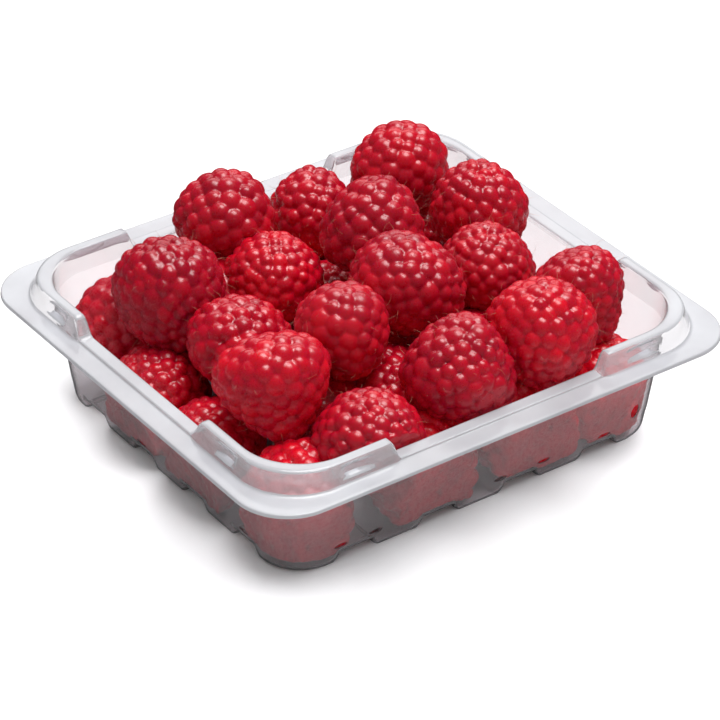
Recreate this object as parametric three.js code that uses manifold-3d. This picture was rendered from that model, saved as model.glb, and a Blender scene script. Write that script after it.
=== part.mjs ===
// Punnet of raspberries: a clear formed tray, open at the top, heaped with two layers of raspberries.
// Millimetres. +Z is up, the ground is z = 0, X runs along the tray's longer side and Y across it.
// The front corner of the tray is the one at -X, -Y.
import * as THREE from "three";
import { mergeVertices } from "three/addons/utils/BufferGeometryUtils.js";
import Module from "manifold-3d";

// ---- Sizes of the tray ----
const TRAY_LENGTH = 128.0; // over the flange, along X
const TRAY_WIDTH = 117.4; // over the flange, along Y
const SHEET = 0.5; // thickness of the formed sheet
const FLANGE_TOP = 27.0; // height of the flat flange above the ground
const RIM_TOP = 32.0; // height of the rim where it is raised, round the four corners
const LOW_RIM_TOP = 27.5; // height of the rim between the raised corners
const LIP_DROP = 0.8; // how far the flange's edge is turned down
const RIM_FOOT = 4.3; // from the flange's edge in to the foot of the rim
const RIM_OUTER = 5.6; // ... to the outer edge of the rim's top
const RIM_INNER = 8.4; // ... to its inner edge, where the body's wall starts
const WALL_BOTTOM = 12.2; // ... to the inside of the wall at its bottom
const WALL_BOTTOM_HEIGHT = 5.4;
const FOOT_DEPTH = 20.0; // ... to the inner end of the feet
const FLOOR_HEIGHT = 2.6; // underside of the floor panel, which is up off the ground
const FLANGE_CORNER = 12.9; // corner radius of the flange's edge
const RIM_CORNER = 14.6; // ... of the rim
const WALL_CORNER = 10.2; // ... of the wall at its bottom
const FOOT_CORNER = 1.5; // ... of the ring of feet at its inner end
const ARC_STEPS = 6; // facets round one corner

// Along each side the rim steps up to the raised corner. The arches between the feet are under it.
// step: where the middle of the low part is, how far off it the step starts, and its length.
const SIDES = {
  x: {
    step: { middle: 0.0, start: 27.2, length: 2.2 },
    arches: [11.2, 33.4],
    archHalf: 5.25,
    niche: [33.4, 45.8],
    slots: [-38.0, -28.8, 5.2, 17.3, 34.4],
    vents: [42.8],
  },
  y: {
    step: { middle: 1.5, start: 22.0, length: 3.3 },
    arches: [10.0, 30.0],
    archHalf: 4.75,
    niche: [29.0, 39.2],
    slots: [-30.3, 10.2],
    vents: [],
  },
};
const STEP_SHAPE = [
  [0.0, 0.0],
  [0.3, 0.35],
  [0.7, 0.93],
  [1.0, 1.0],
]; // share of the step's length, and the share of the full rise reached there
const ARCH_FLANK = 1.5; // length of the slope at each end of an arch
const NICHE_DEPTH = 1.3; // the lens-shaped ledge pressed into a raised corner's outer wall
const NICHE_BOTTOM = 28.4;
const NICHE_TOP = 31.0;
const NICHE_FACETS = 6;
const SLOT_SIZE = [3.5, 1.2]; // drain slots near the ground, long and high
const SLOT_HEIGHT = 5.0;
const VENT_SIZE = [2.6, 4.0]; // oval vent in the wall
const VENT_HEIGHT = 8.5;
const HOLE_FACETS = 8;

// ---- Sizes of the fruit ----
const FRUIT_GAP = 0.35; // between the fruit and the tray
const HEAP_CLEAR = 75.0; // a height that is over the whole heap
const CORE = { inset: 22.0, bottom: 5.0, top: 21.0, corner: 9.0 };
const TIP_SHARE = 0.52; // share of a berry's length from its middle to its tip
const LOBE_SPREAD = 0.16; // how wide a lobe is, as 1 - cos of the angle from its middle
const FACET_SWELL = 1.02; // keeps the flats of a faceted berry out at its round skin
const HEAP_DETAIL = 2; // facets on the berries of the heap
const BED_DETAIL = 1; // facets on the berries of the bottom layer

// Each berry: middle x, y, z; width across; length; where its tip points, as the compass angle from
// +X and the rise above level, in degrees; taper towards the tip; lobes, each as compass angle, rise
// and how far it stands out.
const HEAP = [
  { at: [38.7, 37.5, 32.2], across: 21.5, long: 22.6, tip: [170, -5], taper: 0.05,
    lobes: [[45, 65, 0.5], [-30, 30, 1.0], [155, -30, 0.4]] },
  { at: [-10.0, 38.3, 36.0], across: 23.2, long: 21.5, tip: [5, 65], taper: 0.12,
    lobes: [[160, -5, 0.3]] },
  { at: [15.5, 40.5, 26.0], across: 20.5, long: 22.0, tip: [55, 65], taper: 0.08, lobes: [] },
  { at: [14.0, 13.5, 37.3], across: 23.5, long: 23.5, tip: [20, 75], taper: 0.16,
    lobes: [[170, -20, 0.8]] },
  { at: [43.4, 12.7, 31.5], across: 23.0, long: 22.5, tip: [105, 75], taper: 0.08, lobes: [] },
  { at: [31.3, -6.0, 28.7], across: 22.5, long: 21.5, tip: [70, 70], taper: 0.08, lobes: [] },
  { at: [40.1, -30.1, 31.4], across: 20.0, long: 22.5, tip: [-85, -50], taper: 0.28, lobes: [] },
  { at: [7.0, -7.5, 34.5], across: 24.0, long: 26.0, tip: [-55, -10], taper: 0.06,
    lobes: [[-50, 5, 0.9]] },
  { at: [-9.4, 20.8, 27.4], across: 23.5, long: 21.0, tip: [160, 80], taper: 0.08, lobes: [] },
  { at: [-34.3, 24.5, 30.3], across: 25.2, long: 26.5, tip: [-100, -45], taper: 0.12,
    lobes: [[110, 40, 0.8]] },
  { at: [-29.8, 2.6, 27.0], across: 25.2, long: 20.5, tip: [-15, 60], taper: 0.06,
    lobes: [[175, -25, 0.7]] },
  { at: [-14.3, -14.0, 33.9], across: 21.0, long: 22.0, tip: [-100, -50], taper: 0.12, lobes: [] },
  { at: [22.0, -38.0, 32.5], across: 24.0, long: 25.0, tip: [-110, -40], taper: 0.12,
    lobes: [[-35, 5, 0.8]] },
  { at: [0.0, -38.0, 31.4], across: 23.8, long: 24.0, tip: [15, 70], taper: 0.2,
    lobes: [[160, -15, 1.0], [-40, -30, 0.8], [150, 45, 0.5]] },
  { at: [-36.8, -21.0, 31.3], across: 24.0, long: 25.0, tip: [-100, -55], taper: 0.36,
    lobes: [[150, 15, 0.8]] },
  { at: [-25.8, -40.2, 23.8], across: 24.4, long: 21.5, tip: [-135, 85], taper: 0.05,
    lobes: [[165, 0, 0.8]] },
  { at: [6.5, 24.0, 12.8], across: 20.5, long: 21.0, tip: [40, 40], taper: 0.1, lobes: [] },
];
const BED = [
  { at: [-42.5, -36.5, 12.8], across: 24.5, long: 26.0, tip: [40, 60], taper: 0.06,
    lobes: [[-178, -42, 3.6], [-92, -42, 3.6]] },
  { at: [-45.0, -8.3, 10.8], across: 23.0, long: 23.5, tip: [80, 25], taper: 0.08,
    lobes: [[140, -42, 4.2], [-140, -42, 4.2]] },
  { at: [-43.3, 15.6, 11.7], across: 23.0, long: 23.5, tip: [-80, 20], taper: 0.08,
    lobes: [[140, -42, 4.2], [-140, -42, 4.2]] },
  { at: [-37.8, 40.0, 14.8], across: 23.4, long: 24.0, tip: [-160, -30], taper: 0.1, lobes: [] },
  { at: [-11.0, -36.5, 13.5], across: 24.0, long: 27.0, tip: [5, 5], taper: 0.08,
    lobes: [[-132, -44, 4.6], [-48, -44, 4.6]] },
  { at: [17.0, -36.5, 13.5], across: 24.0, long: 26.0, tip: [175, 5], taper: 0.08,
    lobes: [[-132, -44, 4.6], [-48, -44, 4.6]] },
  { at: [39.5, -37.5, 12.5], across: 22.5, long: 23.0, tip: [10, 15], taper: 0.1,
    lobes: [[-125, -42, 4.0], [-45, -35, 2.5]] },
  { at: [-4.5, -20.0, 16.3], across: 21.5, long: 22.0, tip: [60, 30], taper: 0.1, lobes: [] },
  { at: [-20.0, -13.5, 13.5], across: 22.0, long: 23.0, tip: [-30, 20], taper: 0.1, lobes: [] },
  { at: [-19.5, 9.0, 11.8], across: 23.0, long: 24.0, tip: [120, 10], taper: 0.1, lobes: [] },
  { at: [-19.5, 29.0, 20.0], across: 23.0, long: 24.0, tip: [90, 20], taper: 0.1, lobes: [] },
  { at: [11.0, 6.0, 13.5], across: 22.0, long: 23.0, tip: [-150, 30], taper: 0.1, lobes: [] },
  { at: [21.5, -15.0, 14.0], across: 23.0, long: 24.0, tip: [30, 10], taper: 0.1, lobes: [] },
  { at: [1.5, 38.5, 13.5], across: 22.5, long: 24.0, tip: [150, 15], taper: 0.1, lobes: [] },
  { at: [25.0, 31.0, 14.0], across: 23.0, long: 24.0, tip: [60, 25], taper: 0.1, lobes: [] },
  { at: [42.5, -13.5, 13.5], across: 22.0, long: 23.0, tip: [-70, 15], taper: 0.1, lobes: [] },
  { at: [42.0, 10.0, 13.5], across: 22.5, long: 24.0, tip: [80, 10], taper: 0.1, lobes: [] },
  { at: [43.5, 36.0, 13.5], across: 22.5, long: 23.5, tip: [-40, 20], taper: 0.1, lobes: [] },
];

const wasm = await Module();
wasm.setup();

// ---- Rings ----
// A ring is a closed outline of the tray at one level, as points with their place s round the tray.
// Corner k takes s from k to k + 0.5, and the side after it from k + 0.5 to k + 1.
const CORNERS = [
  [1, 1],
  [-1, 1],
  [-1, -1],
  [1, -1],
];
const HALF_LENGTH = TRAY_LENGTH / 2;
const HALF_WIDTH = TRAY_WIDTH / 2;

// inset: from the flange's edge inwards. corner: radius. marks: { x: [...], y: [...] } places along a
// side, from its middle, squeezed together where the side is short.
// shape(side, u) gives the inset and the height of the point at place u.
function ring(inset, corner, marks, shape) {
  const points = [];
  CORNERS.forEach(([sx, sy], k) => {
    for (let i = 0; i <= ARC_STEPS; i++) {
      const turn = (Math.PI / 2) * (k + i / ARC_STEPS);
      const here = shape("corner", 0);
      const cx = sx * (HALF_LENGTH - inset - corner);
      const cy = sy * (HALF_WIDTH - inset - corner);
      const reach = corner + inset - here.inset;
      points.push({
        s: k + (0.5 * i) / ARC_STEPS,
        at: [cx + reach * Math.cos(turn), cy + reach * Math.sin(turn), here.z],
      });
    }
    const side = k % 2 === 0 ? "x" : "y";
    const travel = k < 2 ? -1 : 1;
    const room = (side === "x" ? HALF_LENGTH : HALF_WIDTH) - inset - corner - 0.3;
    const squeeze = Math.min(1, room / Math.max(room, ...marks[side]));
    for (const u of marks[side].map((mark) => travel * mark).sort((a, b) => a - b)) {
      const here = shape(side, travel * u);
      const along = travel * u * squeeze;
      const half = side === "x" ? HALF_WIDTH : HALF_LENGTH;
      const off = (k === 0 || k === 3 ? 1 : -1) * (half - here.inset);
      points.push({
        s: k + 0.75 + (0.25 * u) / HALF_LENGTH,
        at: side === "x" ? [along, off, here.z] : [off, along, here.z],
      });
    }
  });
  return points;
}

const NO_MARKS = { x: [], y: [] };
const levelRing = (inset, corner, z, marks) => ring(inset, corner, marks, () => ({ inset, z }));
const flatRing = (inset, corner, z) => levelRing(inset, corner, z, NO_MARKS);
const pole = (z) => [{ s: 0, at: [0, 0, z] }];

// How much of the rim's rise is reached at place u along a side.
function rise(side, u) {
  if (side === "corner") return 1;
  const { middle, start, length } = SIDES[side].step;
  const from = (Math.abs(u - middle) - start) / length;
  if (from <= 0) return 0;
  for (let i = 1; i < STEP_SHAPE.length; i++) {
    const [a, ra] = STEP_SHAPE[i - 1];
    const [b, rb] = STEP_SHAPE[i];
    if (from <= b) return ra + ((rb - ra) * (from - a)) / (b - a);
  }
  return 1;
}
const stepMarks = ({ middle, start, length }) =>
  STEP_SHAPE.flatMap(([share]) => [-1, 1].map((way) => middle + way * (start + share * length)));
const STEP_MARKS = { x: stepMarks(SIDES.x.step), y: stepMarks(SIDES.y.step) };
const stepRing = (inset, corner, z) => levelRing(inset, corner, z, STEP_MARKS);
// A ring of the rim, between its low place and its raised place.
const rimRing = (low, high) =>
  ring(high[0], RIM_CORNER, STEP_MARKS, (side, u) => {
    const t = rise(side, u);
    return { inset: low[0] + (high[0] - low[0]) * t, z: low[1] + (high[1] - low[1]) * t };
  });

// Height of the underside at place u along a side: 0 on a foot, up in an arch.
function footHeight(side, u) {
  if (side === "corner") return 0;
  const { arches, archHalf } = SIDES[side];
  const near = Math.min(...arches.map((a) => Math.abs(Math.abs(u) - a)));
  const share = (archHalf + ARCH_FLANK / 2 - near) / ARCH_FLANK;
  return FLOOR_HEIGHT * Math.min(1, Math.max(0, share));
}
const archMarks = ({ arches, archHalf }) =>
  [...arches, ...arches.map((a) => -a)].flatMap((a) =>
    [-1, 1].flatMap((way) =>
      [-1, 1].map((end) => a + way * archHalf + (end * ARCH_FLANK) / 2),
    ),
  );
const ARCH_MARKS = { x: archMarks(SIDES.x), y: archMarks(SIDES.y) };
const archRing = (inset, corner, z) => levelRing(inset, corner, z, ARCH_MARKS);
const footRing = (inset, corner, over) =>
  ring(inset, corner, ARCH_MARKS, (side, u) => ({ inset, z: footHeight(side, u) + over }));

// Skins one ring to the next, right round, always stepping on whichever ring is behind.
function skin(rings) {
  const at = [];
  const start = rings.map((r) => {
    const first = at.length;
    r.forEach((p) => at.push(p.at));
    return first;
  });
  const faces = [];
  for (let k = 0; k < rings.length; k++) {
    const next = (k + 1) % rings.length;
    const [p, q] = [rings[k], rings[next]];
    if (p.length === 1 && q.length === 1) continue;
    const turn = CORNERS.length;
    const reached = (r, i) => (i < r.length ? r[i].s : turn + (i === r.length ? r[0].s : 1));
    let [i, j] = [0, 0];
    const [np, nq] = [p.length === 1 ? 0 : p.length, q.length === 1 ? 0 : q.length];
    while (i < np || j < nq) {
      const a = start[k] + (i % p.length);
      const b = start[next] + (j % q.length);
      const onP = j >= nq || (i < np && reached(p, i + 1) <= reached(q, j + 1));
      if (onP) {
        i++;
        faces.push(a, start[k] + (i % p.length), b);
      } else {
        j++;
        faces.push(a, start[next] + (j % q.length), b);
      }
    }
  }
  return solid(at.flat(), faces);
}

function solid(positions, faces) {
  const mesh = new wasm.Mesh({
    numProp: 3,
    vertProperties: new Float32Array(positions),
    triVerts: new Uint32Array(faces),
  });
  return new wasm.Manifold(mesh);
}

function solidFrom(geometry) {
  const plain = new THREE.BufferGeometry();
  plain.setAttribute("position", geometry.getAttribute("position"));
  plain.setIndex(geometry.getIndex());
  const merged = mergeVertices(plain, 1e-4);
  return solid(merged.getAttribute("position").array, merged.getIndex().array);
}

// ---- Tray ----
function traySheet() {
  const lipBottom = FLANGE_TOP - LIP_DROP;
  const under = FLANGE_TOP - SHEET;
  const lowUnder = LOW_RIM_TOP - SHEET;
  const highUnder = RIM_TOP - SHEET;
  const wallCorner = WALL_CORNER - 0.5;
  return skin([
    // upper side, from the flange's edge in to the middle of the floor
    flatRing(0.0, FLANGE_CORNER, lipBottom),
    flatRing(0.2, FLANGE_CORNER, FLANGE_TOP - 0.2),
    flatRing(0.8, FLANGE_CORNER, FLANGE_TOP),
    stepRing(RIM_FOOT, RIM_CORNER, FLANGE_TOP),
    rimRing([5.3, LOW_RIM_TOP - 0.1], [RIM_OUTER, RIM_TOP - 0.4]),
    rimRing([5.7, LOW_RIM_TOP], [6.1, RIM_TOP]),
    rimRing([7.8, LOW_RIM_TOP], [8.0, RIM_TOP]),
    rimRing([8.3, LOW_RIM_TOP - 0.2], [RIM_INNER, RIM_TOP - 0.4]),
    stepRing(8.6, RIM_CORNER, FLANGE_TOP - 0.1),
    archRing(WALL_BOTTOM, WALL_CORNER, WALL_BOTTOM_HEIGHT),
    footRing(12.75, WALL_CORNER, 1.9),
    footRing(13.6, wallCorner, 0.85),
    footRing(14.9, wallCorner, SHEET),
    footRing(FOOT_DEPTH - 0.4, FOOT_CORNER, SHEET),
    archRing(FOOT_DEPTH + 2.1, FOOT_CORNER, FLOOR_HEIGHT + SHEET),
    pole(FLOOR_HEIGHT + SHEET),
    // underside, from the middle of the floor back out to the flange's edge
    pole(FLOOR_HEIGHT),
    archRing(FOOT_DEPTH + 2.4, FOOT_CORNER, FLOOR_HEIGHT),
    footRing(FOOT_DEPTH, FOOT_CORNER, 0),
    footRing(14.8, wallCorner, 0),
    footRing(13.25, wallCorner, 0.3),
    footRing(12.3, WALL_CORNER, 1.4),
    archRing(WALL_BOTTOM - SHEET, WALL_CORNER, WALL_BOTTOM_HEIGHT - 0.1),
    stepRing(8.1, RIM_CORNER, FLANGE_TOP - 0.6),
    rimRing([7.8, lowUnder - 0.1], [RIM_INNER - SHEET, highUnder - 0.3]),
    rimRing([7.4, lowUnder], [7.5, highUnder]),
    rimRing([5.9, lowUnder], [6.5, highUnder]),
    rimRing([5.5, lowUnder - 0.1], [RIM_OUTER + SHEET, highUnder - 0.3]),
    stepRing(RIM_FOOT + SHEET, RIM_CORNER, under),
    flatRing(1.0, FLANGE_CORNER, under),
    flatRing(0.6, FLANGE_CORNER, under - 0.1),
    flatRing(0.5, FLANGE_CORNER, lipBottom),
  ]);
}

// A prism that stands in the raised rim's sloping outer wall. outline: points [u along, q in].
function wallPrism(side, sx, sy, outline, bottom, top) {
  const slope = (RIM_OUTER - RIM_FOOT) / (RIM_TOP - 0.4 - FLANGE_TOP);
  const positions = [];
  for (const z of [bottom, top])
    for (const [u, q] of outline) {
      const inset = RIM_FOOT + (z - FLANGE_TOP) * slope + q;
      if (side === "x") positions.push(sx * u, sy * (HALF_WIDTH - inset), z);
      else positions.push(sx * (HALF_LENGTH - inset), sy * u, z);
    }
  const n = outline.length;
  const faces = [];
  const face = (a, b, c) => faces.push(a, b, c);
  for (let i = 0; i < n; i++) {
    const j = (i + 1) % n;
    face(i, j, n + j);
    face(i, n + j, n + i);
    if (i > 0 && j > 0) {
      face(0, j, i);
      face(n, n + i, n + j);
    }
  }
  if ((side === "x" ? 1 : -1) * sx * sy > 0)
    for (let f = 0; f < faces.length; f += 3)
      [faces[f], faces[f + 1]] = [faces[f + 1], faces[f]];
  return solid(positions, faces);
}

// The lens-shaped outline of a niche, grown by a margin.
function nicheOutline([from, to], front, margin) {
  const outline = [
    [from - margin, front],
    [to + margin, front],
  ];
  for (let i = 0; i <= NICHE_FACETS; i++) {
    const t = 1 - (2 * i) / NICHE_FACETS;
    const u = (from + to) / 2 + (t * (to - from + 2 * margin)) / 2;
    outline.push([u, margin + 0.05 + NICHE_DEPTH * (1 - t * t)]);
  }
  return outline;
}

// An oval cutter through the wall, standing across the side at distance u from its middle.
function holeCutter(side, sx, sy, u, height, [long, high]) {
  const depth = 5.0;
  const middle = WALL_BOTTOM;
  const shape = new THREE.CylinderGeometry(0.5, 0.5, depth, HOLE_FACETS);
  if (side === "x") {
    shape.scale(long, 1, high);
    shape.translate(sx * u, sy * (HALF_WIDTH - middle), height);
  } else {
    shape.rotateZ(Math.PI / 2);
    shape.scale(1, long, high);
    shape.translate(sx * (HALF_LENGTH - middle), sy * u, height);
  }
  return solidFrom(shape);
}

function tray() {
  let body = traySheet();
  const cutters = [];
  for (const side of ["x", "y"]) {
    const { niche, slots, vents } = SIDES[side];
    const backing = nicheOutline(niche, 0.2, SHEET);
    const hollow = nicheOutline(niche, -1.5, 0);
    for (const sx of [-1, 1])
      for (const sy of [-1, 1]) {
        const back = wallPrism(side, sx, sy, backing, NICHE_BOTTOM - SHEET, NICHE_TOP + SHEET);
        body = body.add(back);
        cutters.push(wallPrism(side, sx, sy, hollow, NICHE_BOTTOM, NICHE_TOP));
      }
    // the holes of one side come again on the opposite side, turned by half a turn
    for (const way of [-1, 1]) {
      const flip = side === "x" ? [-way, way] : [way, -way];
      for (const u of slots)
        cutters.push(holeCutter(side, ...flip, u, SLOT_HEIGHT, SLOT_SIZE));
      for (const u of vents)
        cutters.push(holeCutter(side, ...flip, u, VENT_HEIGHT, VENT_SIZE));
    }
  }
  return cutters.reduce((kept, cutter) => kept.subtract(cutter), body);
}

// ---- Raspberries ----
function direction([compass, up]) {
  const [a, e] = [THREE.MathUtils.degToRad(compass), THREE.MathUtils.degToRad(up)];
  return new THREE.Vector3(Math.cos(a) * Math.cos(e), Math.sin(a) * Math.cos(e), Math.sin(e));
}

// From the berry's middle to its skin, going the way of the unit vector.
function berryReach(berry, way) {
  const toTip = way.dot(direction(berry.tip));
  const along = (toTip > 0 ? TIP_SHARE : 1 - TIP_SHARE) * berry.long;
  const across = (berry.across / 2) * (1 - berry.taper * toTip);
  let reach = 1 / Math.hypot(toTip / along, Math.sqrt(Math.max(0, 1 - toTip * toTip)) / across);
  for (const [compass, up, stand] of berry.lobes) {
    const off = 1 - way.dot(direction([compass, up]));
    reach += stand * Math.exp(-off / LOBE_SPREAD);
  }
  return reach;
}

function berrySolid(berry, detail) {
  const ball = new THREE.IcosahedronGeometry(1, detail);
  const place = ball.getAttribute("position");
  const middle = new THREE.Vector3(...berry.at);
  for (let i = 0; i < place.count; i++) {
    const way = new THREE.Vector3().fromBufferAttribute(place, i).normalize();
    const reach = FACET_SWELL * berryReach(berry, way);
    const skinPoint = way.clone().multiplyScalar(reach).add(middle);
    place.setXYZ(i, skinPoint.x, skinPoint.y, skinPoint.z);
  }
  return solidFrom(ball);
}

// The room for fruit inside the tray: soft fruit presses flat against the walls and the floor, and
// sags into the hollow feet.
function fruitRoom() {
  const gap = FRUIT_GAP;
  const floor = FLOOR_HEIGHT + SHEET + gap;
  const foot = SHEET + 2 * gap;
  return skin([
    archRing(WALL_BOTTOM + gap, WALL_CORNER, WALL_BOTTOM_HEIGHT),
    footRing(13.2, WALL_CORNER - 0.3, foot + 1.0),
    footRing(14.9, WALL_CORNER - 0.5, foot),
    footRing(FOOT_DEPTH - 3.0, FOOT_CORNER, foot),
    archRing(FOOT_DEPTH - 0.4, FOOT_CORNER, floor),
    pole(floor),
    pole(HEAP_CLEAR),
    flatRing(1.0, FLANGE_CORNER, HEAP_CLEAR),
    flatRing(1.0, FLANGE_CORNER, RIM_TOP + 2 * gap),
    flatRing(RIM_INNER + gap, RIM_CORNER, RIM_TOP + gap),
    flatRing(8.6 + gap, RIM_CORNER, FLANGE_TOP - 0.1),
  ].reverse());
}

function raspberries() {
  const corner = CORE.corner;
  const core = skin([
    pole(CORE.top),
    pole(CORE.bottom),
    flatRing(CORE.inset, corner, CORE.bottom),
    flatRing(CORE.inset, corner, CORE.top),
  ]);
  const pieces = [
    ...BED.map((berry) => berrySolid(berry, BED_DETAIL)),
    ...HEAP.map((berry) => berrySolid(berry, HEAP_DETAIL)),
  ];
  return pieces.reduce((heap, piece) => heap.add(piece), core).intersect(fruitRoom());
}

// ---- Scene graph ----
function meshOf(name, body, look) {
  const made = body.getMesh();
  const geometry = new THREE.BufferGeometry();
  geometry.setAttribute("position", new THREE.BufferAttribute(made.vertProperties, 3));
  geometry.setIndex(new THREE.BufferAttribute(made.triVerts, 1));
  geometry.computeVertexNormals();
  const mesh = new THREE.Mesh(geometry, new THREE.MeshStandardMaterial(look));
  mesh.name = name;
  return mesh;
}

const punnet = new THREE.Group();
punnet.name = "punnet";
punnet.add(
  meshOf("tray", tray(), { color: 0xeef2f4, roughness: 0.12, metalness: 0 }),
  meshOf("raspberries", raspberries(), { color: 0xa8101c, roughness: 0.42, metalness: 0 }),
);
export default punnet;
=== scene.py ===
# %% [markdown]
# # A punnet of raspberries
# A punnet is a shallow tray of thin clear plastic. The sheet is warmed and drawn down into a
# mould, so the tray has one thickness all over, soft bends and no loose parts. Thirty-five
# raspberries lie in it, a bed of eighteen with a heap of seventeen on top.
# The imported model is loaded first. It gives the sizes, and every piece made here has to fit
# in it.

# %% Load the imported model
import math

import bmesh
import bpy
import numpy as np
from mathutils import Matrix, Vector


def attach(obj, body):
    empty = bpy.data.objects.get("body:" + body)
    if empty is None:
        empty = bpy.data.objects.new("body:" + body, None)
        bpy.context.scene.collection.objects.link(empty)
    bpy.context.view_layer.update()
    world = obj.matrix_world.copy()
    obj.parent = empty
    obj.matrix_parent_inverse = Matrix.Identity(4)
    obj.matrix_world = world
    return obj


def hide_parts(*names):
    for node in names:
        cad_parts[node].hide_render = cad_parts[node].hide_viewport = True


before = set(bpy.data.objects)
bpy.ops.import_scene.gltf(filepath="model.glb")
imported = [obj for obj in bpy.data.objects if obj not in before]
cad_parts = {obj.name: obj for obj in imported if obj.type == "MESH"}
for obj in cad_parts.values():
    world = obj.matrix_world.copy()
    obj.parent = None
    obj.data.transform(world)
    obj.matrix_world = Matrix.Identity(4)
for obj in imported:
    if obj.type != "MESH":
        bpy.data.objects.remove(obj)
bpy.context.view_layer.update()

MM = 0.001  # sizes below are in millimetres, and Blender's are in metres

# %% [markdown]
# ## Camera
# Food is often shown from a seated eater's eye: about a third of the way up, looking across one
# corner. A long lens keeps the far side of the tray almost as wide as the near side, which a
# short lens would not. The camera's shift then slides the whole picture a little, which leaves
# the perspective as it is. Turning the camera would change it.

# %% Camera
VIEW_TURN = -35.913  # degrees round from the front, seen from above
VIEW_RISE = 32.719  # degrees up from level
VIEW_ROLL = 0.478  # degrees that the horizon leans
VIEW_DISTANCE = 846.5  # mm from the point looked at
LOOK_AT_HEIGHT = 27.0  # mm, the level of the tray's flange
LENS_SHARE = 3762.378 / 720.0  # focal length as a share of the picture's width
SHIFT = (0.00221, -0.07221)  # share of the picture's width
SENSOR_WIDTH = 36.0  # mm
FAR_CLIP = 20.0  # m, so that the floor is seen as far as it goes

def way_from(turn, rise):
    """Direction to a stand that is so far round from the front and so far up, in degrees."""
    a, e = math.radians(turn), math.radians(rise)
    return Vector((math.sin(a) * math.cos(e), -math.cos(a) * math.cos(e), math.sin(e)))

def look_axes(turn, rise, roll):
    """The camera's axes to its right, up and back."""
    r, back = math.radians(roll), way_from(turn, rise)
    right = (-back).cross(Vector((0, 0, 1))).normalized()
    up = right.cross(-back)
    return right * math.cos(r) + up * math.sin(r), up * math.cos(r) - right * math.sin(r), back

axes = look_axes(VIEW_TURN, VIEW_RISE, VIEW_ROLL)
lens = bpy.data.cameras.new("camera")
lens.sensor_width = SENSOR_WIDTH
lens.lens = LENS_SHARE * lens.sensor_width
lens.shift_x, lens.shift_y = SHIFT
lens.clip_end = FAR_CLIP
camera = bpy.data.objects.new("camera", lens)
stand = axes[2] * VIEW_DISTANCE * MM + Vector((0, 0, LOOK_AT_HEIGHT * MM))
camera.matrix_world = Matrix.Translation(stand) @ Matrix(axes).transposed().to_4x4()
bpy.context.scene.collection.objects.link(camera)
bpy.context.scene.camera = camera
print("camera at, m:", [round(v, 3) for v in stand], "lens", round(lens.lens, 1), "mm")

# %% [markdown]
# ## The tray's section
# Cut the tray across and its sheet draws one line: a lip turned down, a flat flange, a rim that
# stands up, a wall that leans in, a foot and a floor. The rim has two heights and the underside
# two, so there are two such lines, with the same number of points, and any place round the tray
# is a mix of them.

# %% Tray sizes and the section's corners
TRAY = (128.0, 117.4)  # over the flange, along X and Y
SHEET = 0.38  # thickness
FLANGE_TOP = 27.0
RIM_TOP = 32.0  # round the corners
LOW_RIM_TOP = 27.5  # along the middle of each side
FLOOR_TOP = 2.98
RIM_CORNER = 14.6  # radius of the rim's corners, seen from above

# corner points of the section on the sheet's upper side, from the flange's lip in to the floor:
# inset from the flange's edge, height, radius of the bend, corner radius seen from above
RAISED = [
    (0.0, 26.2, 0.0, 12.9),
    (0.1, FLANGE_TOP, 0.5, 12.9),
    (4.4, FLANGE_TOP, 0.7, RIM_CORNER),
    (5.7, RIM_TOP, 0.45, RIM_CORNER),
    (8.3, RIM_TOP, 0.45, RIM_CORNER),
    (8.7, 26.9, 1.5, RIM_CORNER),
    (12.2, 5.4, 1.5, 10.2),
    (12.9, 0.40, 1.6, 10.0),
    (20.0, 0.40, 0.8, 1.5),
    (22.2, FLOOR_TOP, 0.8, 1.5),
    (30.0, FLOOR_TOP, 0.0, 1.5),
]
LOW = [
    (0.0, 26.2, 0.0, 12.9),
    (0.1, FLANGE_TOP, 0.5, 12.9),
    (4.9, FLANGE_TOP, 0.3, RIM_CORNER),
    (5.3, LOW_RIM_TOP, 0.25, RIM_CORNER),
    (8.3, LOW_RIM_TOP, 0.3, RIM_CORNER),
    (8.733, 26.7, 0.5, RIM_CORNER),
    (12.2, 5.4, 1.5, 10.2),
    (12.6, FLOOR_TOP, 0.9, 10.0),
    (20.0, FLOOR_TOP, 0.3, 1.5),
    (22.2, FLOOR_TOP, 0.3, 1.5),
    (30.0, FLOOR_TOP, 0.0, 1.5),
]
RUN_POINTS = (1, 4, 9, 3, 1, 14, 3, 5, 2, 4)  # extra points on each straight between bends
print("corners of the section:", len(RAISED), len(LOW))

# %% [markdown]
# ## Bends
# A mould has no sharp bends. A Bevel modifier could round them, but it works on edges of a
# finished mesh, and here each bend has a radius of its own. So each corner of the line is
# replaced by a short arc before any mesh is made, with the same number of points everywhere.

# %% Round the section's bends
BEND_FACETS = 5
LEAST_BEND = 0.8  # mm of each straight that a bend uses up, so no two points are nearly one
MOST_BEND = 0.45  # share of a straight that one bend may use up

def bend_points(corners, k):
    """The arc at one corner of the section. Its two ends stay as they are."""
    inset, height, bend, seen = corners[k]
    if k in (0, len(corners) - 1):
        return [(inset, height, seen)]
    here = np.array([inset, height])
    before = np.array(corners[k - 1][:2]) - here
    after = np.array(corners[k + 1][:2]) - here
    run_before, run_after = np.linalg.norm(before), np.linalg.norm(after)
    a, b = before / run_before, after / run_after
    half = math.acos(np.clip(a @ b, -1, 1)) / 2
    cut = min(max(bend / math.tan(half), LEAST_BEND),
              MOST_BEND * run_before, MOST_BEND * run_after)
    return [(*(here + a * cut * (1 - t) ** 2 + b * cut * t ** 2), seen)
            for t in np.linspace(0, 1, BEND_FACETS)]

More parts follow.
